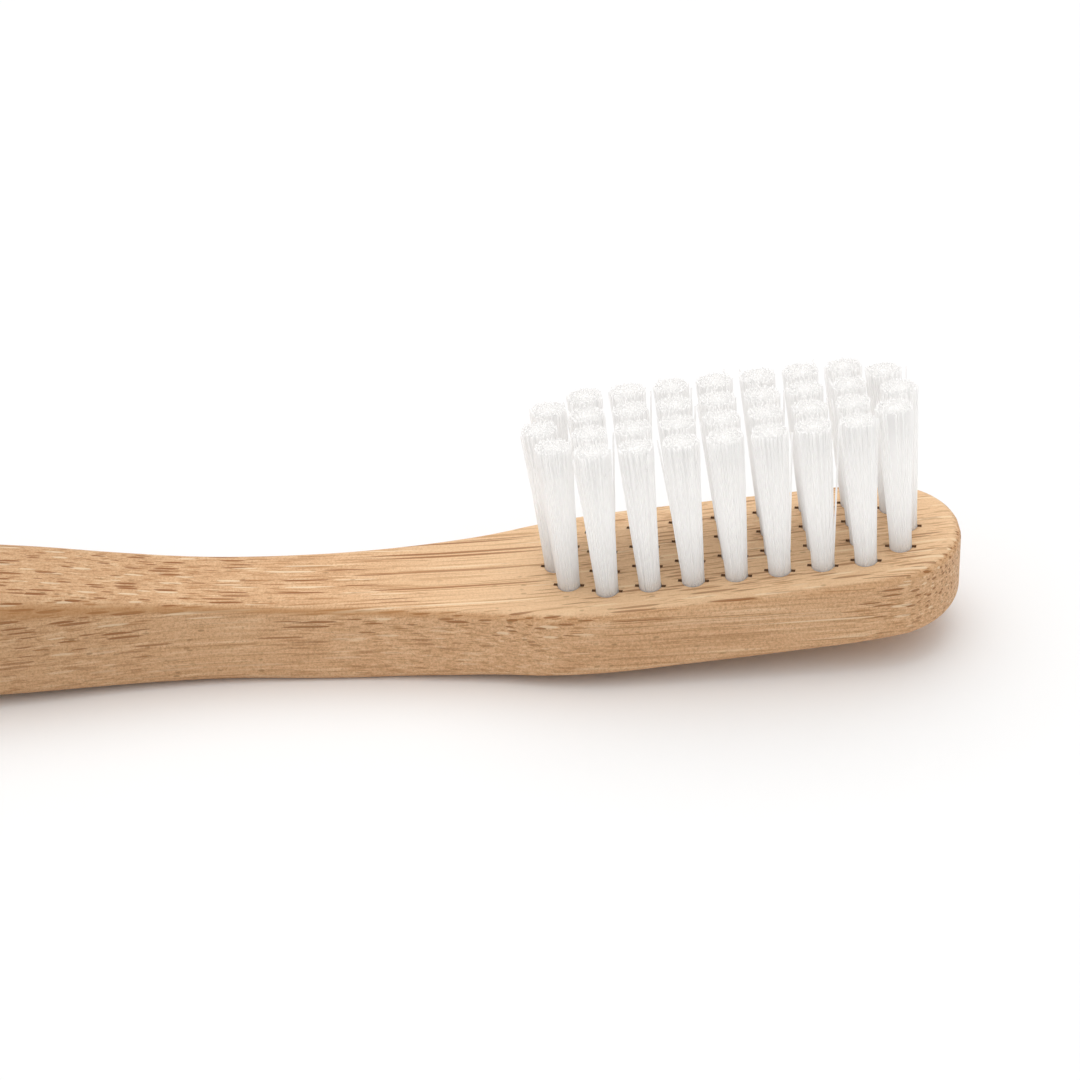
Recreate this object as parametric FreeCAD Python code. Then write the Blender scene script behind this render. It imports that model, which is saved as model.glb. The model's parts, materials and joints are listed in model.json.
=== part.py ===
import FreeCAD
import Part
import math
import os
from FreeCAD import Placement, Rotation, Vector

# A bamboo toothbrush lying on its back, bristles up.
# +X runs along the brush to the tip, +Z is up, and z = 0 is the plane it rests on.
# All lengths are millimetres. Stations along the handle are measured back from the tip.

overall_length = 190.0

# Tail
tail_width = 10.2
tail_top = 7.2
tail_cap_length = 5.2
tail_top_round = 2.6
tail_back_round = 1.8

# Rest pad under the tail
pad_from_tip = 166.0
pad_width = 11.3
pad_top = 8.2

# Grip, arched clear of the rest plane
grip_from_tip = 122.0
grip_width = 12.5
grip_top = 9.7
grip_back = 1.3
grip_top_round = 3.3
grip_back_round = 1.9

# Shoulder and throat, where the grip narrows
shoulder_from_tip = 82.0
shoulder_width = 11.2
shoulder_top = 9.7
shoulder_back = 1.3
shoulder_top_round = 3.1
throat_from_tip = 63.0
throat_width = 8.35
throat_top = 8.15
throat_back = 0.6
throat_top_round = 1.9
throat_back_round = 1.0

# Neck, narrowest, then the belly that rests in front of it
neck_from_tip = 49.5
neck_width = 6.2
neck_top = 6.35
neck_back = 0.17
belly_from_tip = 41.0
belly_width = 6.9
belly_top = 5.78
rest_trim = 0.04

# Head, a slab tilted up towards the tip
flare_from_tip = 32.5
flare_width = 9.0
flare_top = 5.56
heel_from_tip = 24.5
heel_width = 12.0
head_from_tip = 14.5
head_width = 12.2
tip_width = 11.5
tip_cap_length = 5.4
head_thickness = 4.95
head_tilt_degrees = 4.0
head_top_round = 0.7
head_back_round = 0.8

# Tuft pattern on the head's face
pattern_from_tip = 15.0
pattern_height = 6.45
column_pitch = 2.8
row_pitch = 2.25
end_arc_step = 2.42
end_arc_bulge = 0.69
full_columns = 7
full_rows = 4
end_arc_tufts = 3

# Tuft holes and their anchor plates, which bite into the wood at both sides of a hole
hole_diameter = 1.5
hole_depth = 3.2
hole_sides = 14
plate_bite = 0.23
plate_thickness = 0.26
plate_depth = 1.3
plate_turn_degrees = -13.6
fold_thickness = 0.45
plate_fit = 0.02
tuft_fit = 0.03

# Bristle tufts, almost meeting at their trimmed ends
bristle_height = 10.8
gap_between_columns = 0.36
gap_between_rows = 0.21
tuft_flute_count = 7
tuft_flute_share = 0.08

overrun = 2.0

# How finely the handle is cut into sections, and the quarter ellipse of each end cap in degrees
grip_section_count = 7
throat_section_count = 6
neck_section_count = 8
head_section_count = 3
cap_degrees = (18, 35, 51, 65, 76, 84)
corner_limit_share = 0.8

# Places worked out from the sizes above
tip_x = overall_length / 2
tail_x = -tip_x
tilt = math.radians(head_tilt_degrees)
pattern_x = tip_x - pattern_from_tip
head_frame = Placement(Vector(pattern_x, 0, pattern_height), Rotation(Vector(0, 1, 0), -head_tilt_degrees))
plate_length = hole_diameter + 2 * plate_bite
plate_bottom = fold_thickness - hole_depth
plate_top = plate_bottom + plate_depth


def face_height(x):
    """Height of the sloping bristle face at x."""
    return pattern_height + (x - pattern_x) * math.tan(tilt)


def head_back(x):
    """Height of the head's underside at x."""
    return face_height(x) - head_thickness / math.cos(tilt)


def rounded_section(x, width, back, top, top_round, back_round):
    """A rectangle across the handle at x, with one radius for its top corners and one for its back."""
    half_width = width / 2
    limit = corner_limit_share * min(half_width, (top - back) / 2)
    arcs = []
    for side, way, start in ((-1, -1, 180), (1, -1, 270), (1, 1, 0), (-1, 1, 90)):
        radius = min(top_round if way > 0 else back_round, limit)
        centre = Vector(x, side * (half_width - radius), (top if way > 0 else back) - way * radius)
        turns = [math.radians(start + turn) for turn in (0, 45, 90)]
        arcs.append([centre + Vector(0, math.cos(turn), math.sin(turn)) * radius for turn in turns])
    edges = []
    for arc, following in zip(arcs, arcs[1:] + arcs[:1]):
        edges.append(Part.Arc(*arc).toShape())
        edges.append(Part.makeLine(arc[-1], following[0]))
    return Part.Wire(edges)


def rim_drop(inset, radius):
    """How far a rounded rim has fallen at an inset from the end that it rounds into."""
    if inset >= radius:
        return 0
    return radius - math.sqrt(radius ** 2 - (radius - inset) ** 2)


def smooth_value(stations, x, start_slope, end_slope):
    """Value at x of a smooth curve through (x, value) stations that never overshoots them."""
    steps = [(after[0] - before[0], after[1] - before[1]) for before, after in zip(stations, stations[1:])]
    rises = [rise / run for run, rise in steps]
    slopes = [start_slope]
    for before, after in zip(rises, rises[1:]):
        slopes.append(2 * before * after / (before + after) if before * after > 0 else 0)
    slopes.append(end_slope)
    index = max(number for number in range(len(steps)) if number == 0 or stations[number][0] <= x)
    run, rise = steps[index]
    share = (x - stations[index][0]) / run
    ease = share * share * (3 - 2 * share)
    lead = run * share * (1 - share) ** 2 * slopes[index]
    trail = run * share * share * (share - 1) * slopes[index + 1]
    return stations[index][1] + rise * ease + lead + trail


def place_stations(*stations):
    """Stations given as (distance back from the tip, value), as (x, value)."""
    return [(tip_x - from_tip, value) for from_tip, value in stations]


def width_at(x):
    """Width of the handle between its end caps."""
    stations = place_stations(
        (overall_length - tail_cap_length, tail_width), (pad_from_tip, pad_width), (grip_from_tip, grip_width),
        (shoulder_from_tip, shoulder_width), (throat_from_tip, throat_width), (neck_from_tip, neck_width),
        (belly_from_tip, belly_width), (flare_from_tip, flare_width), (heel_from_tip, heel_width),
        (head_from_tip, head_width), (tip_cap_length, tip_width))
    return smooth_value(stations, x, 0, 0)


def top_at(x):
    """Height of the handle's top; past the heel it is the bristle face."""
    heel_x = tip_x - heel_from_tip
    if x > heel_x:
        return face_height(x)
    stations = place_stations(
        (overall_length, tail_top), (pad_from_tip, pad_top), (grip_from_tip, grip_top),
        (shoulder_from_tip, shoulder_top), (throat_from_tip, throat_top), (neck_from_tip, neck_top),
        (belly_from_tip, belly_top), (flare_from_tip, flare_top), (heel_from_tip, face_height(heel_x)))
    return smooth_value(stations, x, 0, math.tan(tilt))


def back_at(x):
    """Height of the handle's back; the two rest pads lie a trim below the rest plane."""
    flare_x = tip_x - flare_from_tip
    if x > flare_x:
        return head_back(x)
    stations = place_stations(
        (overall_length, -rest_trim), (pad_from_tip, -rest_trim), (grip_from_tip, grip_back),
        (shoulder_from_tip, shoulder_back), (throat_from_tip, throat_back), (neck_from_tip, neck_back),
        (belly_from_tip, -rest_trim), (flare_from_tip, head_back(flare_x)))
    return smooth_value(stations, x, 0, math.tan(tilt))


def top_round_at(x):
    """Radius of the top edges, largest on the grip."""
    stations = place_stations(
        (overall_length, tail_top_round), (grip_from_tip, grip_top_round), (shoulder_from_tip, shoulder_top_round),
        (throat_from_tip, throat_top_round), (neck_from_tip, head_top_round), (0, head_top_round))
    return smooth_value(stations, x, 0, 0)


def back_round_at(x):
    """Radius of the back edges."""
    stations = place_stations(
        (overall_length, tail_back_round), (grip_from_tip, grip_back_round),
        (throat_from_tip, throat_back_round), (neck_from_tip, head_back_round), (0, head_back_round))
    return smooth_value(stations, x, 0, 0)


def cap_sections(x, length, width):
    """Sections from x on that close an end in an ellipse with a rounded rim; length is signed."""
    sections = []
    last_share = math.sin(math.radians(cap_degrees[-1]))
    for degrees in cap_degrees:
        angle = math.radians(degrees)
        place = x + length * math.sin(angle) / last_share
        inset = abs(x + length - place)
        top_round = top_round_at(place)
        back_round = back_round_at(place)
        top = top_at(place) - rim_drop(inset, top_round)
        back = back_at(place) + rim_drop(inset, back_round)
        sections.append(rounded_section(place, width * math.cos(angle), back, top, top_round, back_round))
    return sections


def spaced(first, last, count):
    """Places from first up to, but not including, last."""
    return [first + (last - first) * number / count for number in range(count)]


def handle_sections():
    """The sections of the handle, from the end of the tail to the end of the tip."""
    tail_start = tail_x + tail_cap_length
    tip_start = tip_x - tip_cap_length
    shoulder_x = tip_x - shoulder_from_tip
    neck_x = tip_x - neck_from_tip
    heel_x = tip_x - heel_from_tip
    places = spaced(tail_start, shoulder_x, grip_section_count)
    places += spaced(shoulder_x, neck_x, throat_section_count)
    places += spaced(neck_x, heel_x, neck_section_count)
    places += spaced(heel_x, tip_start, head_section_count) + [tip_start]
    body = [rounded_section(x, width_at(x), back_at(x), top_at(x), top_round_at(x), back_round_at(x))
            for x in places]
    tail = cap_sections(tail_start, -tail_cap_length, tail_width)
    tip = cap_sections(tip_start, tip_cap_length, tip_width)
    return tail[::-1] + body + tip


def handle_blank():
    """The shaped handle with its two rest pads planed flat, before drilling."""
    skin = Part.makeLoft(handle_sections(), True, True)
    plane = Part.makeBox(overall_length + overrun, grip_width + overrun, overrun,
                         Vector(tail_x - overrun / 2, -(grip_width + overrun) / 2, -overrun))
    return skin.cut(plane)


def tuft_places():
    """Name and place of each tuft on the bristle face: a full grid with an arc at heel and toe."""
    places = []
    last_column = (full_columns - 1) / 2
    last_row = (full_rows - 1) / 2
    for row in range(full_rows):
        for column in range(full_columns):
            place = Vector((column - last_column) * column_pitch, (row - last_row) * row_pitch, 0)
            places.append((f"tuft_row{row + 1}_col{column + 1}", place))
    last_in_arc = (end_arc_tufts - 1) / 2
    for end, direction in (("heel", -1), ("toe", 1)):
        for number in range(end_arc_tufts):
            across_share = (number - last_in_arc) / last_in_arc
            reach = last_column * column_pitch + end_arc_step + end_arc_bulge * (1 - across_share ** 2)
            place = Vector(direction * reach, (number - last_in_arc) * row_pitch, 0)
            places.append((f"tuft_{end}{number + 1}", place))
    return places


def on_head(shape, place):
    """The shape, made at a tuft's mouth, set in its place on the sloping face."""
    moved = shape.copy()
    moved.translate(place)
    moved.Placement = head_frame.multiply(moved.Placement)
    return moved


def anchor_block(clearance, bottom, top):
    """An upright block as long and thick as an anchor plate, with a clearance all round."""
    length = plate_length + 2 * clearance
    thickness = plate_thickness + 2 * clearance
    block = Part.makeBox(length, thickness, top - bottom, Vector(-length / 2, -thickness / 2, bottom))
    block.rotate(Vector(0, 0, 0), Vector(0, 0, 1), plate_turn_degrees)
    return block


def ring(count, length, width, height, inset_share):
    """A closed outline of count points: a circle, every second point set in, its halves moved apart along X."""
    points = []
    for number in range(count):
        angle = 2 * math.pi * number / count
        radius = width / 2 * (1 - inset_share * (number % 2))
        apart = math.copysign((length - width) / 2, math.cos(angle))
        points.append(Vector(radius * math.cos(angle) + apart, radius * math.sin(angle), height))
    return Part.makePolygon(points + points[:1])


def hole_cutter():
    """A blind tuft hole with the slit that the anchor plate is driven down."""
    ends = [ring(hole_sides, hole_diameter, hole_diameter, height, 0) for height in (-hole_depth, overrun)]
    hole = Part.makeLoft(ends, True, True)
    slit = anchor_block(plate_fit, plate_bottom - plate_fit, overrun)
    return hole.fuse(slit)


def handle():
    """The one-piece bamboo handle with its drilled head."""
    cutter = hole_cutter()
    return handle_blank().cut([on_head(cutter, place) for _, place in tuft_places()])


def tuft():
    """One folded bundle of bristles, fluted in small groups, spreading from its hole to the trimmed end."""
    root = hole_diameter - 2 * tuft_fit
    spread_length = column_pitch - gap_between_columns
    spread_width = row_pitch - gap_between_rows
    points = 2 * tuft_flute_count
    sections = [ring(points, root, root, tuft_fit - hole_depth, tuft_flute_share),
                ring(points, root, root, 0, tuft_flute_share),
                ring(points, spread_length, spread_width, bristle_height, tuft_flute_share)]
    bundle = Part.makeLoft(sections, True, True)
    return bundle.cut(anchor_block(plate_fit, plate_bottom - plate_fit, plate_top + plate_fit))


def anchor_plates():
    """The metal plates that wedge the folded tufts in their holes."""
    plate = anchor_block(0, plate_bottom, plate_top)
    return Part.makeCompound([on_head(plate, place) for _, place in tuft_places()])


def main():
    os.makedirs("parts", exist_ok=True)
    handle().exportStep("parts/handle.step")
    anchor_plates().exportStep("parts/anchor_plates.step")
    bundle = tuft()
    for name, place in tuft_places():
        on_head(bundle, place).exportStep(f"parts/{name}.step")


if __name__ == "__main__":
    main()
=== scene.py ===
import bmesh
import bpy
import json
import math
import random
import numpy as np
from mathutils import Matrix, Vector

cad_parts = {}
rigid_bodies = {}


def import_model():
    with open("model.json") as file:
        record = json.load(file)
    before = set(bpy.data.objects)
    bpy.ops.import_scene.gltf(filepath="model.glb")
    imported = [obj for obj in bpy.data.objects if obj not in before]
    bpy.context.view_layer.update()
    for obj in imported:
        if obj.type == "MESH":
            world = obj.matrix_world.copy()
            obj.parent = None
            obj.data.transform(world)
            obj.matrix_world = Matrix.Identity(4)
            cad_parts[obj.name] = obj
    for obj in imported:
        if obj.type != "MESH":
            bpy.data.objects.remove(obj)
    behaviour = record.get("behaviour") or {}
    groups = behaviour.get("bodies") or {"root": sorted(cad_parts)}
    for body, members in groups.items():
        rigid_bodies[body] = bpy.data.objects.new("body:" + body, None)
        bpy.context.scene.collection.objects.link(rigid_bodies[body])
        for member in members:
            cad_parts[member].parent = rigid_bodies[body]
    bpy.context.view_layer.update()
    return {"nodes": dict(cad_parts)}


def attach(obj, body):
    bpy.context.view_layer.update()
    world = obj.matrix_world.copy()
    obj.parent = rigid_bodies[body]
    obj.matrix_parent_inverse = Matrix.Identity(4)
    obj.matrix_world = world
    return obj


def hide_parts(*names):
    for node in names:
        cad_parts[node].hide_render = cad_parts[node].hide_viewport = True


# The looks of a bamboo toothbrush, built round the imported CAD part, in metres.

for leftover in list(bpy.data.objects):
    bpy.data.objects.remove(leftover)
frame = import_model()
mm = 0.001

# Handle mesh
outline_steps = 6
flat_steps = 14
arc_steps = 7
wall_steps = 6
end_cap_length = 5.1 * mm
end_flat_half = 0.6 * mm
weld_distance = 0.0005 * mm
fewest_section_points = 40
section_digits = 6
flat_level = 0.002 * mm
end_level = 0.2 * mm
sharp_degrees = 40

# Holes and slits in the head's face
hole_fit_share = 1.035
hole_sides = 40
cut_depth = 1.25 * mm
slit_depth = 1.15 * mm
slit_length = 2.02 * mm
slit_width = 0.27 * mm
slit_turn_degrees = -13.6

# Bristles
rim_count = 40
inner_count = 75
bristle_radius = 0.062 * mm
bristle_sides = 6
bristle_rings = 7
inner_start_share = 0.86
root_depth = 1.1 * mm
tip_round_length = 0.06 * mm
tip_scatter = 0.05 * mm
sway = 0.03 * mm
trim_scatter = 0.06 * mm
stray_lean = 0.4 * mm
rim_turn_scatter = 0.2
rim_inset_share = 0.94
inner_reach_share = 0.95
tip_shoulder_share = 0.8
tip_end_share = 0.4
tuft_digits = 7
core_share = 0.93
core_sides = 40
core_sink = 0.14 * mm
core_heights = (0, 0.5)

# Bamboo: lengths in millimetres, each ramp is (from low, from high, to low, to high), each stretch is a
# scale along x, y and z, and each roughness is (spread, least)
bundle_spacing_mm = 0.36
thread_spacing_mm = 0.2
fibre_radius_least = 0.12
fibre_radius_spread = 0.24
fibre_drift_mm = 0.3
fibre_edge_ramp = (0.72, 1.0, 1.0, 0.0)
wall_fibre_ramp = (0.2, 0.8, 0.85, 1.0)
low_fibre_ramp = (2.4, 4.8, 0.4, 1.0)
dark_bundle_ramp = (0.5, 0.62, 0.95, 0.0)
pale_bundle_ramp = (0.62, 0.72, 0.0, 0.9)
thread_ramp = (0.4, 0.55, 0.8, 0.0)
slow_stretch = (0.06, 0.25, 0.25)
cloud_scale = 1.3
grain_stretch = (0.12, 5.0, 5.0)
grain_detail = 4.0
grain_harshness = 0.65
pale_grain_ramp = (0.5, 0.72, 0.0, 0.9)
dark_grain_ramp = (0.28, 0.5, 0.75, 0.0)
speckle_scale = 6.5
speckle_harshness = 0.85
fine_detail = 3.0
dark_speckle_ramp = (0.36, 0.5, 0.55, 0.0)
pale_speckle_ramp = (0.5, 0.64, 0.0, 0.4)
hair_stretch = (0.07, 8.0, 8.0)
hair_ramp = (0.57, 0.64, 0.0, 0.65)
hair_patch_ramp = (0.4, 0.55, 0.2, 1.0)
hair_wall_ramp = (0.2, 0.8, 0.6, 1.0)
pit_stretch = (1.1, 2.6, 2.6)
pit_ramp = (0.16, 0.3, 1.0, 0.0)
pit_chance_ramp = (0.55, 0.7, 0.0, 0.7)
pit_patch_ramp = (0.42, 0.58, 1.0, 0.0)
# Painted shade on the rounded edges between the top and the walls
edge_lower_ramp = (0.15, 0.45, 0.0, 1.0)
edge_upper_ramp = (0.6, 0.9, 1.0, 0.0)
edge_share_ramp = (54.0, 68.0, 0.6, 0.15)
# Painted light: the head's upward face is made paler
face_light_start_ramp = (52.0, 66.0, 0.0, 1.0)
face_light_facing_ramp = (0.7, 0.95, 0.0, 1.0)
face_light_ground_share = 0.45
face_light_share_ramp = (62.0, 70.0, 0.12, 0.28)
# Painted shade darkening the grip
grip_shade_ramp = (32.0, 58.0, 1.0, 0.0)
wood_relief = 0.05 * mm
wood_relief_share = 0.55
grain_relief_share = 0.5
speckle_relief_share = 0.6
fibre_relief_share = 0.6
wood_roughness = (0.25, 0.45)
wood_gloss = 0.3
wood_tan = (0.745, 0.43, 0.221, 1)
wood_light_tan = (0.833, 0.506, 0.275, 1)
wood_pale_grain = (0.95, 0.665, 0.405, 1)
wood_dark_grain = (0.535, 0.28, 0.127, 1)
wood_dark_speckle = (0.481, 0.259, 0.119, 1)
wood_pale_speckle = (0.95, 0.69, 0.425, 1)
wood_dark_bundle = (0.34, 0.13, 0.037, 1)
wood_pale_bundle = (0.96, 0.735, 0.49, 1)
wood_thread = (0.489, 0.227, 0.0801, 1)
wood_hair = (0.407, 0.172, 0.0525, 1)
wood_pit = (0.407, 0.219, 0.0899, 1)
# Painted shade on the rounded edges
wood_edge_painted_shade = (0.548, 0.259, 0.0896, 1)
# Painted light on the head's face
wood_face_painted_light = (0.95, 0.66, 0.395, 1)
# Painted shade on the grip
grip_painted_shade_tint = (0.86, 0.85, 0.83, 1)
# Painted shade inside the holes and slits
cut_wood_dark = (0.2, 0.1, 0.045, 1)
cut_wood_light = (0.42, 0.23, 0.115, 1)
cut_wood_scale = 6.0
cut_wood_roughness = (0.2, 0.7)

# Nylon and brass
strand_stretch = (6.0, 6.0, 0.3)
nylon_dim = (0.965, 0.957, 0.95, 1)
nylon_clear = (0.99, 0.987, 0.983, 1)
nylon_through_share = 0.6
nylon_ior = 1.53
nylon_roughness = (0.15, 0.3)
# Painted glow of the bristles, stronger higher up
nylon_painted_glow_ramp = (4.5, 12.0, 0.02, 0.08)
brass_dark = (0.35, 0.28, 0.16, 1)
brass_light = (0.55, 0.45, 0.27, 1)
brass_scale = 5.0
brass_roughness = (0.3, 0.3)

# Camera, read off the photograph's tuft rows
image_side_px = 1080
focal_px = 3213
sensor_width_mm = 36
camera_place = Vector((61.67, -173.02, 124.88)) * mm
camera_down_degrees = 34.06
camera_aside_degrees = 1.94
camera_roll_degrees = -2.34
camera_clip_start = 10 * mm

# Studio
floor_side = 3.0
floor_drop = 0.01 * mm
floor_seen = (1, 1, 1, 1)
floor_bounce = (0.9, 0.9, 0.9, 1)
key_from = Vector((-0.06, 0.36, 1))
key_strength = 0.66
key_softness_degrees = 60
horizon_strength = 0.16
zenith_strength = 1.1
backdrop_strength = 1.0
backdrop_white = (1, 1, 1, 1)


def cad_points(node):
    """The points of a CAD node as an array."""
    vertices = frame["nodes"][node].data.vertices
    return np.array([vertex.co for vertex in vertices], float)


def cad_sections():
    """(x, half width, top, back, top round, back round) of each CAD section of the handle."""
    points = np.unique(np.round(cad_points("handle"), section_digits), axis=0)
    sections = []
    for place in np.unique(points[:, 0]):
        ring = points[points[:, 0] == place]
        if len(ring) < fewest_section_points:
            continue
        top, back = ring[:, 2].max(), ring[:, 2].min()
        half_width = ring[:, 1].max()
        top_flat = np.abs(ring[ring[:, 2] > top - flat_level, 1]).max()
        back_flat = np.abs(ring[ring[:, 2] < back + flat_level, 1]).max()
        sections.append((place, half_width, top, back, half_width - top_flat, half_width - back_flat))
    return np.array(sections)


def smooth_curve(points, first_tangent, last_tangent, steps):
    """Points on a smooth curve through the given ones, with each stretch cut into steps."""
    chords = np.linalg.norm(np.diff(points, axis=0), axis=1)[:, None]
    slopes = np.diff(points, axis=0) / chords
    inner = (slopes[:-1] * chords[1:] + slopes[1:] * chords[:-1]) / (chords[:-1] + chords[1:])
    tangents = np.vstack([first_tangent, inner, last_tangent])
    made = []
    for index, chord in enumerate(chords):
        share = (np.arange(steps) / steps)[:, None]
        ease = share * share * (3 - 2 * share)
        lead = chord * share * (1 - share) ** 2 * tangents[index]
        trail = chord * share * share * (share - 1) * tangents[index + 1]
        made.append(points[index] + (points[index + 1] - points[index]) * ease + lead + trail)
    return np.vstack(made + [points[-1:]])


def height_line(places, values, first, last):
    """A smooth line of values along the handle, carried straight on to both ends."""
    rises = np.diff(values) / np.diff(places)
    values = np.concatenate([[values[0] + rises[0] * (first - places[0])], values,
                             [values[-1] + rises[-1] * (last - places[-1])]])
    places = np.concatenate([[first], places, [last]])
    pairs = np.column_stack([places, values])
    start, stop = pairs[1] - pairs[0], pairs[-1] - pairs[-2]
    return smooth_curve(pairs, start / np.linalg.norm(start), stop / np.linalg.norm(stop), outline_steps)


class HandleForm:
    """The handle's smooth outline and heights, taken from its CAD sections."""

    def __init__(self):
        sections = cad_sections()
        self.tail, self.tip = sections[0, 0], sections[-1, 0]
        ends = np.array([[self.tail, 0], [self.tip, 0]])
        outline = np.vstack([ends[:1], sections[:, :2], ends[1:]])
        self.outline = smooth_curve(outline, (0, 1), (0, -1), outline_steps)
        inside = (sections[:, 0] > self.tail + end_cap_length) & (sections[:, 0] < self.tip - end_cap_length)
        body = sections[inside]
        self.lines = [height_line(body[:, 0], body[:, column], self.tail, self.tip) for column in range(2, 6)]

    def at(self, x):
        """Top, back, top round and back round at x."""
        return [float(np.interp(x, line[:, 0], line[:, 1])) for line in self.lines]

    def top(self, x):
        return self.at(x)[0]


def half_profile(form, place, inward):
    """Points from the middle of the back, round the far wall, to the rim of the top, at one outline point."""
    _, _, top_round, back_round = form.at(place[0])
    points = []
    for step in range(arc_steps + 1):
        angle = math.pi / 2 * step / arc_steps
        spot = place + inward * back_round * (1 - math.sin(angle))
        back = max(form.at(spot[0])[1], 0)
        points.append(Vector((spot[0], spot[1], back + back_round * (1 - math.cos(angle)))))
    rim = []
    for step in range(arc_steps + 1):
        angle = math.pi / 2 * step / arc_steps
        spot = place + inward * top_round * (1 - math.cos(angle))
        rim.append(Vector((spot[0], spot[1], form.top(spot[0]) - top_round * (1 - math.sin(angle)))))
    for step in range(1, wall_steps):
        points.append(points[arc_steps].lerp(rim[0], step / wall_steps))
    return points + rim


def mirrored(point):
    return Vector((point.x, -point.y, point.z))


def handle_ring(form, place, inward):
    """One closed ring of the handle: far side up, across the top, near side down, across the back."""
    far = half_profile(form, place, inward)
    near = [mirrored(point) for point in reversed(far)]
    top = [far[-1].lerp(near[0], step / flat_steps) for step in range(1, flat_steps)]
    back = [near[-1].lerp(far[0], step / flat_steps) for step in range(1, flat_steps)]
    return far + top + near + back


def mesh_object(name, mesh):
    """A mesh as an object of the scene."""
    made = bpy.data.objects.new(name, mesh)
    bpy.context.scene.collection.objects.link(made)
    return made


def ring_skin(target, rings):
    """Skins closed rings of points with quads."""
    made = [[target.verts.new(point) for point in ring] for ring in rings]
    for ring, following in zip(made, made[1:]):
        count = len(ring)
        for index in range(count):
            after = (index + 1) % count
            target.faces.new((ring[index], following[index], following[after], ring[after]))
    return made


def skin_closed(target, rings):
    """Skins closed rings of points and shuts both ends."""
    made = ring_skin(target, rings)
    target.faces.new(made[0])
    target.faces.new(made[-1])


def end_cap(target, form, place, inward):
    """The narrow upright strip that closes an end of the handle."""
    rows = []
    for point in half_profile(form, place, inward):
        row = [point.lerp(mirrored(point), step / flat_steps) for step in range(flat_steps + 1)]
        rows.append([target.verts.new(spot) for spot in row])
    for row, above in zip(rows, rows[1:]):
        for index in range(flat_steps):
            target.faces.new((row[index], row[index + 1], above[index + 1], above[index]))


def handle_mesh(form):
    """The smooth bamboo handle before its holes are cut."""
    steps = np.gradient(form.outline, axis=0)
    inward = np.column_stack([steps[:, 1], -steps[:, 0]])
    inward /= np.linalg.norm(inward, axis=1)[:, None]
    rounded = form.outline[:, 1] > end_flat_half
    stations = list(zip(form.outline[rounded], inward[rounded]))
    made = bmesh.new()
    ring_skin(made, [handle_ring(form, place, way) for place, way in stations])
    end_cap(made, form, *stations[0])
    end_cap(made, form, *stations[-1])
    bmesh.ops.remove_doubles(made, verts=made.verts, dist=weld_distance)
    bmesh.ops.recalc_face_normals(made, faces=made.faces)
    mesh = bpy.data.meshes.new("bamboo_handle")
    made.to_mesh(mesh)
    made.free()
    return mesh


class TuftForm:
    """Where a tuft stands and how it spreads, taken from its CAD node."""

    def __init__(self, node, handle_form):
        points = np.unique(np.round(cad_points(node), tuft_digits), axis=0)
        end = points[points[:, 2] > points[:, 2].max() - end_level]
        root = points[points[:, 2] < points[:, 2].min() + end_level]
        foot = Vector(root.mean(axis=0))
        self.axis = (Vector(end.mean(axis=0)) - foot).normalized()
        self.along = Vector((0, 1, 0)).cross(self.axis).normalized()
        self.across = self.axis.cross(self.along)
        self.mouth = foot + self.axis * (handle_form.top(foot.x) - foot.z) * self.axis.z
        self.height = (Vector(end.mean(axis=0)) - self.mouth).length
        self.root_radius = max((Vector(point) - foot).length for point in root)
        self.half_length = float(np.ptp(end @ np.array(self.along)) / 2)
        self.half_width = float(np.ptp(end[:, 1]) / 2)
        self.matrix = Matrix((self.along, self.across, self.axis)).transposed().to_4x4()
        self.matrix.translation = self.mouth


def cutter_mesh(name, tufts, add_cutter):
    """One mesh of a cutter for each tuft."""
    made = bmesh.new()
    for tuft in tufts:
        add_cutter(made, tuft)
    mesh = bpy.data.meshes.new(name)
    made.to_mesh(mesh)
    made.free()
    return mesh


def add_hole(target, tuft):
    radius = tuft.root_radius * hole_fit_share
    bmesh.ops.create_cone(target, cap_ends=True, segments=hole_sides, radius1=radius, radius2=radius,
                          depth=2 * cut_depth, matrix=tuft.matrix)


def add_slit(target, tuft):
    turn = Matrix.Rotation(math.radians(slit_turn_degrees), 4, "Z")
    shape = Matrix.Diagonal((slit_length, slit_width, 2 * slit_depth, 1))
    bmesh.ops.create_cube(target, size=1, matrix=tuft.matrix @ turn @ shape)


def cut_holes(handle, tufts, cut_shade_material):
    """Cuts the tuft holes, and the slits across them, out of the handle's mesh."""
    for name, add_cutter in (("holes", add_hole), ("slits", add_slit)):
        cutter = mesh_object(name, cutter_mesh(name, tufts, add_cutter))
        cutter.data.materials.append(cut_shade_material)
        cut = handle.modifiers.new(name, "BOOLEAN")
        cut.object = cutter
        cut.operation = "DIFFERENCE"
        cut.solver = "EXACT"
        cut.material_mode = "TRANSFER"
        graph = bpy.context.evaluated_depsgraph_get()
        mesh = bpy.data.meshes.new_from_object(handle.evaluated_get(graph))
        handle.modifiers.clear()
        handle.data = mesh
        bpy.data.objects.remove(cutter)
    mesh.shade_smooth()
    mesh.set_sharp_from_angle(angle=math.radians(sharp_degrees))


def bristle_line(tuft, chance, spot, first_share, lean):
    """The middle line of one bristle, from a share of its height to its trimmed end."""
    start = spot * (tuft.root_radius - bristle_radius)
    end = spread_at(tuft, spot) + Vector((chance.gauss(0, tip_scatter), chance.gauss(0, tip_scatter)))
    end += spot * lean
    bow = Vector((chance.gauss(0, sway), chance.gauss(0, sway)))
    height = tuft.height - abs(chance.gauss(0, trim_scatter))
    line = []
    for step in range(bristle_rings):
        share = first_share + (1 - first_share) * step / (bristle_rings - 1)
        place = start.lerp(end, max(share, 0)) + bow * math.sin(math.pi * max(share, 0))
        line.append(Vector((place.x, place.y, share * height)))
    return line


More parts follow.
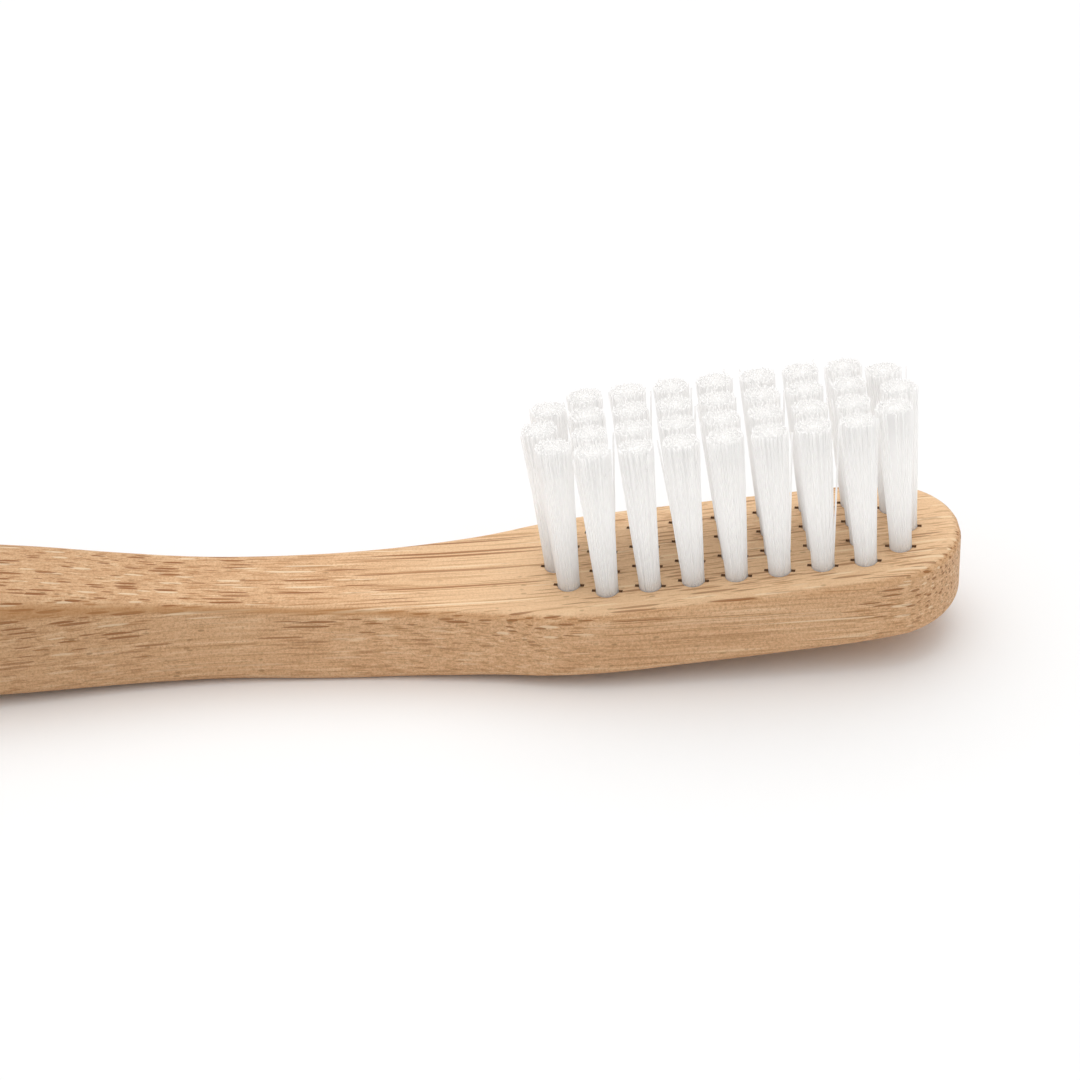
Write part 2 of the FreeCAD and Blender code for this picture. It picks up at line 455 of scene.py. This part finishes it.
def bristle_lines(tuft, chance):
    """The bristles that show: a rim of whole ones, one astray, and the ends of those inside."""
    golden_turn = math.pi * (3 - math.sqrt(5))
    foot_share = -root_depth / tuft.height
    stray = chance.randrange(rim_count)
    for number in range(rim_count):
        turn = 2 * math.pi * (number + chance.uniform(-rim_turn_scatter, rim_turn_scatter)) / rim_count
        spot = Vector((math.cos(turn), math.sin(turn))) * chance.uniform(rim_inset_share, 1.0)
        yield bristle_line(tuft, chance, spot, foot_share, stray_lean if number == stray else 0)
    for number in range(inner_count):
        turn = number * golden_turn
        reach = inner_reach_share * math.sqrt((number + 0.5) / inner_count)
        spot = Vector((math.cos(turn), math.sin(turn))) * reach
        yield bristle_line(tuft, chance, spot, inner_start_share, 0)


def add_bristle(target, tuft, line):
    """A thin tube along a line, with a rounded end."""
    ends = [(point, bristle_radius) for point in line]
    ends[-1] = (line[-1] - Vector((0, 0, tip_round_length)), bristle_radius)
    ends.append((line[-1] - Vector((0, 0, tip_round_length / 3)), tip_shoulder_share * bristle_radius))
    ends.append((line[-1], tip_end_share * bristle_radius))
    rings = []
    for point, radius in ends:
        ring = []
        for side in range(bristle_sides):
            angle = 2 * math.pi * side / bristle_sides
            ring.append(tuft.matrix @ (point + Vector((math.cos(angle), math.sin(angle), 0)) * radius))
        rings.append(ring)
    skin_closed(target, rings)


def spread_at(tuft, spot):
    """Where a spot of the root, as a share of its radius, comes to at the trimmed end."""
    apart = (tuft.half_length - tuft.half_width) * max(-1, min(1, 2 * spot.x))
    return spot * (tuft.half_width - bristle_radius) + Vector((apart, 0))


def add_core(target, tuft):
    """The inner bristles, packed so close that they are one body."""
    rings = []
    for height_share in (-root_depth / tuft.height, *core_heights, 1 - core_sink / tuft.height):
        ring = []
        for side in range(core_sides):
            angle = 2 * math.pi * side / core_sides
            spot = Vector((math.cos(angle), math.sin(angle))) * core_share
            start = spot * (tuft.root_radius - bristle_radius)
            place = start.lerp(spread_at(tuft, spot), max(height_share, 0))
            ring.append(tuft.matrix @ Vector((place.x, place.y, height_share * tuft.height)))
        rings.append(ring)
    skin_closed(target, rings)


def bristle_tuft(node, tuft, material):
    """Puts a bundle of single bristles in place of a CAD tuft."""
    chance = random.Random(node)
    made = bmesh.new()
    for line in bristle_lines(tuft, chance):
        add_bristle(made, tuft, line)
    add_core(made, tuft)
    bmesh.ops.recalc_face_normals(made, faces=made.faces)
    mesh = bpy.data.meshes.new(node + "_bristles")
    made.to_mesh(mesh)
    made.free()
    mesh.shade_smooth()
    mesh.materials.append(material)
    tuft_object = mesh_object(node + "_bristles", mesh)
    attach(tuft_object, "root")
    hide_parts(node)


def add(tree, kind, settings=(), **inputs):
    """A shader node with its settings and inputs; an input is a value or another node's socket."""
    node = tree.nodes.new(kind)
    for name, value in dict(settings).items():
        setattr(node, name, value)
    for name, value in inputs.items():
        connect(tree, node.inputs[name.replace("_", " ")], value)
    return node


def connect(tree, socket, value):
    if isinstance(value, bpy.types.NodeSocket):
        tree.links.new(value, socket)
    else:
        socket.default_value = value


def calc(tree, operation, *values):
    """The result of a math node."""
    node = add(tree, "ShaderNodeMath", {"operation": operation})
    for socket, value in zip(node.inputs, values):
        connect(tree, socket, value)
    return node.outputs[0]


def mix(tree, share, first, second, blend="MIX"):
    """A mix of two colours."""
    node = add(tree, "ShaderNodeMix", {"data_type": "RGBA", "blend_type": blend})
    for index, value in ((0, share), (6, first), (7, second)):
        connect(tree, node.inputs[index], value)
    return node.outputs[2]


def remap(tree, value, low, high, to_low, to_high):
    """A value eased from one range to another."""
    node = add(tree, "ShaderNodeMapRange", {"interpolation_type": "SMOOTHSTEP"})
    for socket, number in zip(node.inputs, (value, low, high, to_low, to_high)):
        connect(tree, socket, number)
    return node.outputs[0]


def noise(tree, vector, scale=1.0, detail=2.0, harshness=0.5):
    """A noise texture's value, about 0.5."""
    made = add(tree, "ShaderNodeTexNoise", Vector=vector, Scale=scale, Detail=detail, Roughness=harshness)
    return made.outputs[0]


def new_material(name):
    made = bpy.data.materials.new(name)
    made.use_nodes = True
    made.node_tree.nodes.clear()
    return made, made.node_tree


def finish_material(tree, shader):
    add(tree, "ShaderNodeOutputMaterial", Surface=shader)


def place_in_mm(tree):
    """The point's place in the part's frame, in millimetres."""
    place = add(tree, "ShaderNodeTexCoord").outputs["Object"]
    scaled = add(tree, "ShaderNodeVectorMath", {"operation": "SCALE"}, Vector=place, Scale=1 / mm)
    return scaled.outputs[0]


def stretched(tree, place, stretch):
    """A place scaled differently along each axis."""
    made = add(tree, "ShaderNodeVectorMath", {"operation": "MULTIPLY"}, Vector=place)
    made.inputs[1].default_value = stretch
    return made.outputs[0]


class BambooPatterns:
    """The noises and directions that the bamboo's colour and relief are made from."""

    def __init__(self, tree):
        self.place = place_in_mm(tree)
        slow = stretched(tree, self.place, slow_stretch)
        drift = add(tree, "ShaderNodeTexNoise", Vector=slow, Scale=1.0, Detail=2.0).outputs["Color"]
        drift = add(tree, "ShaderNodeSeparateXYZ", Vector=drift).outputs
        parts = add(tree, "ShaderNodeSeparateXYZ", Vector=self.place).outputs
        self.along = parts[0]
        across = calc(tree, "MULTIPLY_ADD", drift[0], fibre_drift_mm, parts[1])
        self.upward = calc(tree, "MULTIPLY_ADD", drift[1], fibre_drift_mm, parts[2])
        self.section = add(tree, "ShaderNodeCombineXYZ", X=across, Y=self.upward).outputs[0]
        self.cloud = noise(tree, slow, cloud_scale)
        lengthwise = stretched(tree, self.place, grain_stretch)
        self.grain = noise(tree, lengthwise, detail=grain_detail, harshness=grain_harshness)
        self.speckle = noise(tree, self.place, speckle_scale, fine_detail, speckle_harshness)
        normal = add(tree, "ShaderNodeNewGeometry").outputs["Normal"]
        self.facing = add(tree, "ShaderNodeSeparateXYZ", Vector=normal).outputs[2]
        # Painted light on the head's upward face
        self.face_painted_light = calc(tree, "MULTIPLY", remap(tree, self.along, *face_light_start_ramp),
                           remap(tree, self.facing, *face_light_facing_ramp))


def wood_ground(tree, patterns):
    """Tan wood with soft grain and fine speckle, and painted light that makes the head's upward face paler.
    """
    colour = mix(tree, patterns.cloud, wood_tan, wood_light_tan)
    colour = mix(tree, remap(tree, patterns.grain, *pale_grain_ramp), colour, wood_pale_grain)
    colour = mix(tree, remap(tree, patterns.grain, *dark_grain_ramp), colour, wood_dark_grain)
    colour = mix(tree, remap(tree, patterns.speckle, *dark_speckle_ramp), colour, wood_dark_speckle)
    colour = mix(tree, remap(tree, patterns.speckle, *pale_speckle_ramp), colour, wood_pale_speckle)
    return mix(tree, calc(tree, "MULTIPLY", patterns.face_painted_light, face_light_ground_share), colour, wood_face_painted_light)


def fibre_cells(tree, patterns, spacing_mm):
    """Fibres across the section, fewer low down and on the walls, and a chance value for each."""
    cells = add(tree, "ShaderNodeTexVoronoi", {"voronoi_dimensions": "2D"},
                Vector=patterns.section, Scale=1 / spacing_mm)
    chance = add(tree, "ShaderNodeSeparateColor", Color=cells.outputs["Color"]).outputs
    radius = calc(tree, "MULTIPLY_ADD", chance[1], fibre_radius_spread, fibre_radius_least)
    inside = remap(tree, calc(tree, "DIVIDE", cells.outputs["Distance"], radius), *fibre_edge_ramp)
    crowd = calc(tree, "MULTIPLY", remap(tree, patterns.facing, *wall_fibre_ramp),
                 remap(tree, patterns.upward, *low_fibre_ramp))
    return calc(tree, "MULTIPLY", inside, crowd), chance[0]


def add_fibres(tree, patterns, colour):
    """Dark and pale fibre bundles and thin threads; also gives where the dark bundles are."""
    bundle, tone = fibre_cells(tree, patterns, bundle_spacing_mm)
    dark = calc(tree, "MULTIPLY", bundle, remap(tree, tone, *dark_bundle_ramp))
    pale = calc(tree, "MULTIPLY", bundle, remap(tree, tone, *pale_bundle_ramp))
    colour = mix(tree, dark, colour, wood_dark_bundle)
    colour = mix(tree, pale, colour, wood_pale_bundle)
    thread, tone = fibre_cells(tree, patterns, thread_spacing_mm)
    thin = calc(tree, "MULTIPLY", thread, remap(tree, tone, *thread_ramp))
    return mix(tree, thin, colour, wood_thread), dark


def add_hairlines(tree, patterns, colour):
    """Long thin lines in patches, fainter on the walls."""
    hair = remap(tree, noise(tree, stretched(tree, patterns.place, hair_stretch)), *hair_ramp)
    hair = calc(tree, "MULTIPLY", hair, remap(tree, patterns.cloud, *hair_patch_ramp))
    hair = calc(tree, "MULTIPLY", hair, remap(tree, patterns.facing, *hair_wall_ramp))
    return mix(tree, hair, colour, wood_hair)


def add_pits(tree, patterns, colour):
    """Small open pores in patches; also gives where they are."""
    cells = add(tree, "ShaderNodeTexVoronoi", Vector=stretched(tree, patterns.place, pit_stretch), Scale=1.0)
    chance = add(tree, "ShaderNodeSeparateColor", Color=cells.outputs["Color"]).outputs[0]
    pit = remap(tree, cells.outputs["Distance"], *pit_ramp)
    pit = calc(tree, "MULTIPLY", pit, remap(tree, chance, *pit_chance_ramp))
    pit = calc(tree, "MULTIPLY", pit, remap(tree, patterns.cloud, *pit_patch_ramp))
    return mix(tree, pit, colour, wood_pit), pit


def add_painted_edge_shade(tree, patterns, colour):
    """Painted shade: browner wood on the rounded edges between the top and the walls, where they turn away
    from the light, fading towards the head.
    """
    edge = calc(tree, "MULTIPLY", remap(tree, patterns.facing, *edge_lower_ramp),
                remap(tree, patterns.facing, *edge_upper_ramp))
    edge = calc(tree, "MULTIPLY", edge, remap(tree, patterns.along, *edge_share_ramp))
    return mix(tree, edge, colour, wood_edge_painted_shade)


def add_face_light_and_grip_shade(tree, patterns, colour):
    """Painted light on the head's face, which makes its fibres fainter, and painted shade that darkens the
    grip.
    """
    face_painted_light = calc(tree, "MULTIPLY", patterns.face_painted_light, remap(tree, patterns.along, *face_light_share_ramp))
    colour = mix(tree, face_painted_light, colour, wood_face_painted_light)
    return mix(tree, remap(tree, patterns.along, *grip_shade_ramp), colour, grip_painted_shade_tint, "MULTIPLY")


def wood_bump(tree, patterns, dark, pit):
    """The fine relief of the grain, with the dark bundles and the pores sunk in it."""
    speckle = calc(tree, "MULTIPLY", patterns.speckle, speckle_relief_share)
    height = calc(tree, "MULTIPLY_ADD", patterns.grain, grain_relief_share, speckle)
    height = calc(tree, "SUBTRACT", height, calc(tree, "MULTIPLY", dark, fibre_relief_share))
    height = calc(tree, "SUBTRACT", height, pit)
    bump = add(tree, "ShaderNodeBump", Strength=wood_relief_share, Distance=wood_relief, Height=height)
    return bump.outputs[0]


def bamboo_material():
    """Bamboo: fibre bundles run along the handle, so a slope cuts them to dashes and an end to dots."""
    material, tree = new_material("bamboo")
    patterns = BambooPatterns(tree)
    colour, dark = add_fibres(tree, patterns, wood_ground(tree, patterns))
    colour = add_hairlines(tree, patterns, colour)
    colour, pit = add_pits(tree, patterns, colour)
    colour = add_painted_edge_shade(tree, patterns, colour)
    colour = add_face_light_and_grip_shade(tree, patterns, colour)
    relief = wood_bump(tree, patterns, dark, pit)
    rough = calc(tree, "MULTIPLY_ADD", patterns.speckle, *wood_roughness)
    shader = add(tree, "ShaderNodeBsdfPrincipled", Base_Color=colour, Roughness=rough, Normal=relief)
    shader.inputs["Specular IOR Level"].default_value = wood_gloss
    finish_material(tree, shader.outputs[0])
    return material


def cut_wood_shade_material():
    """Painted shade: dark wood inside the holes and slits, where shade falls."""
    material, tree = new_material("cut_bamboo_painted_shade")
    grain = noise(tree, place_in_mm(tree), cut_wood_scale, fine_detail)
    colour = mix(tree, grain, cut_wood_dark, cut_wood_light)
    rough = calc(tree, "MULTIPLY_ADD", grain, *cut_wood_roughness)
    shader = add(tree, "ShaderNodeBsdfPrincipled", Base_Color=colour, Roughness=rough)
    finish_material(tree, shader.outputs[0])
    return material


def nylon_material():
    """White nylon bristles: light gets through them, and a painted glow, stronger higher up, brightens them.
    """
    material, tree = new_material("bristle_nylon")
    place = place_in_mm(tree)
    strand = noise(tree, stretched(tree, place, strand_stretch))
    colour = mix(tree, strand, nylon_dim, nylon_clear)
    rough = calc(tree, "MULTIPLY_ADD", strand, *nylon_roughness)
    skin = add(tree, "ShaderNodeBsdfPrincipled", Base_Color=colour, Roughness=rough, IOR=nylon_ior)
    through = add(tree, "ShaderNodeBsdfTranslucent", Color=colour)
    both = add(tree, "ShaderNodeMixShader", Fac=nylon_through_share)
    tree.links.new(skin.outputs[0], both.inputs[1])
    tree.links.new(through.outputs[0], both.inputs[2])
    height = add(tree, "ShaderNodeSeparateXYZ", Vector=place).outputs[2]
    # Painted glow, stronger higher up
    painted_glow_strength = remap(tree, height, *nylon_painted_glow_ramp)
    painted_glow = add(tree, "ShaderNodeEmission", Color=colour, Strength=painted_glow_strength)
    lit = add(tree, "ShaderNodeAddShader")
    tree.links.new(both.outputs[0], lit.inputs[0])
    tree.links.new(painted_glow.outputs[0], lit.inputs[1])
    finish_material(tree, lit.outputs[0])
    return material


def anchor_material():
    """Dull brass strip."""
    material, tree = new_material("anchor_metal")
    grain = noise(tree, place_in_mm(tree), brass_scale, fine_detail)
    colour = mix(tree, grain, brass_dark, brass_light)
    rough = calc(tree, "MULTIPLY_ADD", grain, *brass_roughness)
    shader = add(tree, "ShaderNodeBsdfPrincipled", Base_Color=colour, Roughness=rough, Metallic=1.0)
    finish_material(tree, shader.outputs[0])
    return material


def build_brush():
    """The handle, the tufts and the anchor plates with their materials."""
    names = sorted(name for name in frame["nodes"] if name.startswith("tuft_"))
    form = HandleForm()
    tufts = {name: TuftForm(name, form) for name in names}
    handle = mesh_object("bamboo_handle", handle_mesh(form))
    handle.data.materials.append(bamboo_material())
    cut_holes(handle, tufts.values(), cut_wood_shade_material())
    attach(handle, "root")
    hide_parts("handle")
    nylon = nylon_material()
    for name, tuft in tufts.items():
        bristle_tuft(name, tuft, nylon)
    plates = frame["nodes"]["anchor_plates"]
    plates.data.materials.clear()
    plates.data.materials.append(anchor_material())


def camera_rays(tree):
    """1 for what the camera sees, straight or through gloss or glass, and 0 for the rest."""
    rays = add(tree, "ShaderNodeLightPath").outputs
    seen = calc(tree, "MAXIMUM", rays["Is Camera Ray"], rays["Is Glossy Ray"])
    return calc(tree, "MAXIMUM", seen, rays["Is Transmission Ray"])


def floor_material():
    """A floor that is seen as white and keeps its shadow."""
    material, tree = new_material("floor_white")
    colour = mix(tree, camera_rays(tree), floor_bounce, floor_seen)
    finish_material(tree, add(tree, "ShaderNodeBsdfDiffuse", Color=colour).outputs[0])
    return material


def studio_world():
    """A pale surround that is brightest overhead, seen as white."""
    world = bpy.data.worlds.new("studio")
    world.use_nodes = True
    tree = world.node_tree
    way = add(tree, "ShaderNodeTexCoord").outputs["Generated"]
    upward = add(tree, "ShaderNodeSeparateXYZ", Vector=way).outputs[2]
    light = remap(tree, upward, 0.0, 1.0, horizon_strength, zenith_strength)
    seen = camera_rays(tree)
    seen_part = calc(tree, "MULTIPLY", seen, backdrop_strength)
    strength = calc(tree, "MULTIPLY_ADD", light, calc(tree, "SUBTRACT", 1.0, seen), seen_part)
    background = tree.nodes["Background"]
    background.inputs["Color"].default_value = backdrop_white
    connect(tree, background.inputs["Strength"], strength)
    return world


def build_studio():
    """A white floor, a soft light from above and a little behind, and a pale surround."""
    made = bmesh.new()
    bmesh.ops.create_grid(made, x_segments=1, y_segments=1, size=floor_side / 2)
    mesh = bpy.data.meshes.new("floor")
    made.to_mesh(mesh)
    made.free()
    floor = mesh_object("floor", mesh)
    floor.location.z = -floor_drop
    mesh.materials.append(floor_material())

    light = bpy.data.lights.new("key", "SUN")
    light.energy = key_strength
    light.angle = math.radians(key_softness_degrees)
    key = bpy.data.objects.new("key", light)
    key.rotation_euler = key_from.to_track_quat("Z", "Y").to_euler()
    bpy.context.scene.collection.objects.link(key)
    bpy.context.scene.world = studio_world()
    bpy.context.scene.view_settings.view_transform = "Standard"


def build_camera():
    """The photograph's camera."""
    data = bpy.data.cameras.new("camera")
    data.sensor_width = sensor_width_mm
    data.lens = focal_px / image_side_px * sensor_width_mm
    data.clip_start = camera_clip_start
    camera = bpy.data.objects.new("camera", data)
    down, aside = math.radians(camera_down_degrees), math.radians(camera_aside_degrees)
    roll = math.radians(camera_roll_degrees)
    forward = Vector((math.sin(aside) * math.cos(down), math.cos(aside) * math.cos(down), -math.sin(down)))
    level = forward.cross(Vector((0, 0, 1))).normalized()
    right = level * math.cos(roll) + level.cross(forward) * math.sin(roll)
    camera.matrix_world = Matrix((right, right.cross(forward), -forward)).transposed().to_4x4()
    camera.location = camera_place
    bpy.context.scene.collection.objects.link(camera)
    bpy.context.scene.camera = camera


build_brush()
build_studio()
build_camera()
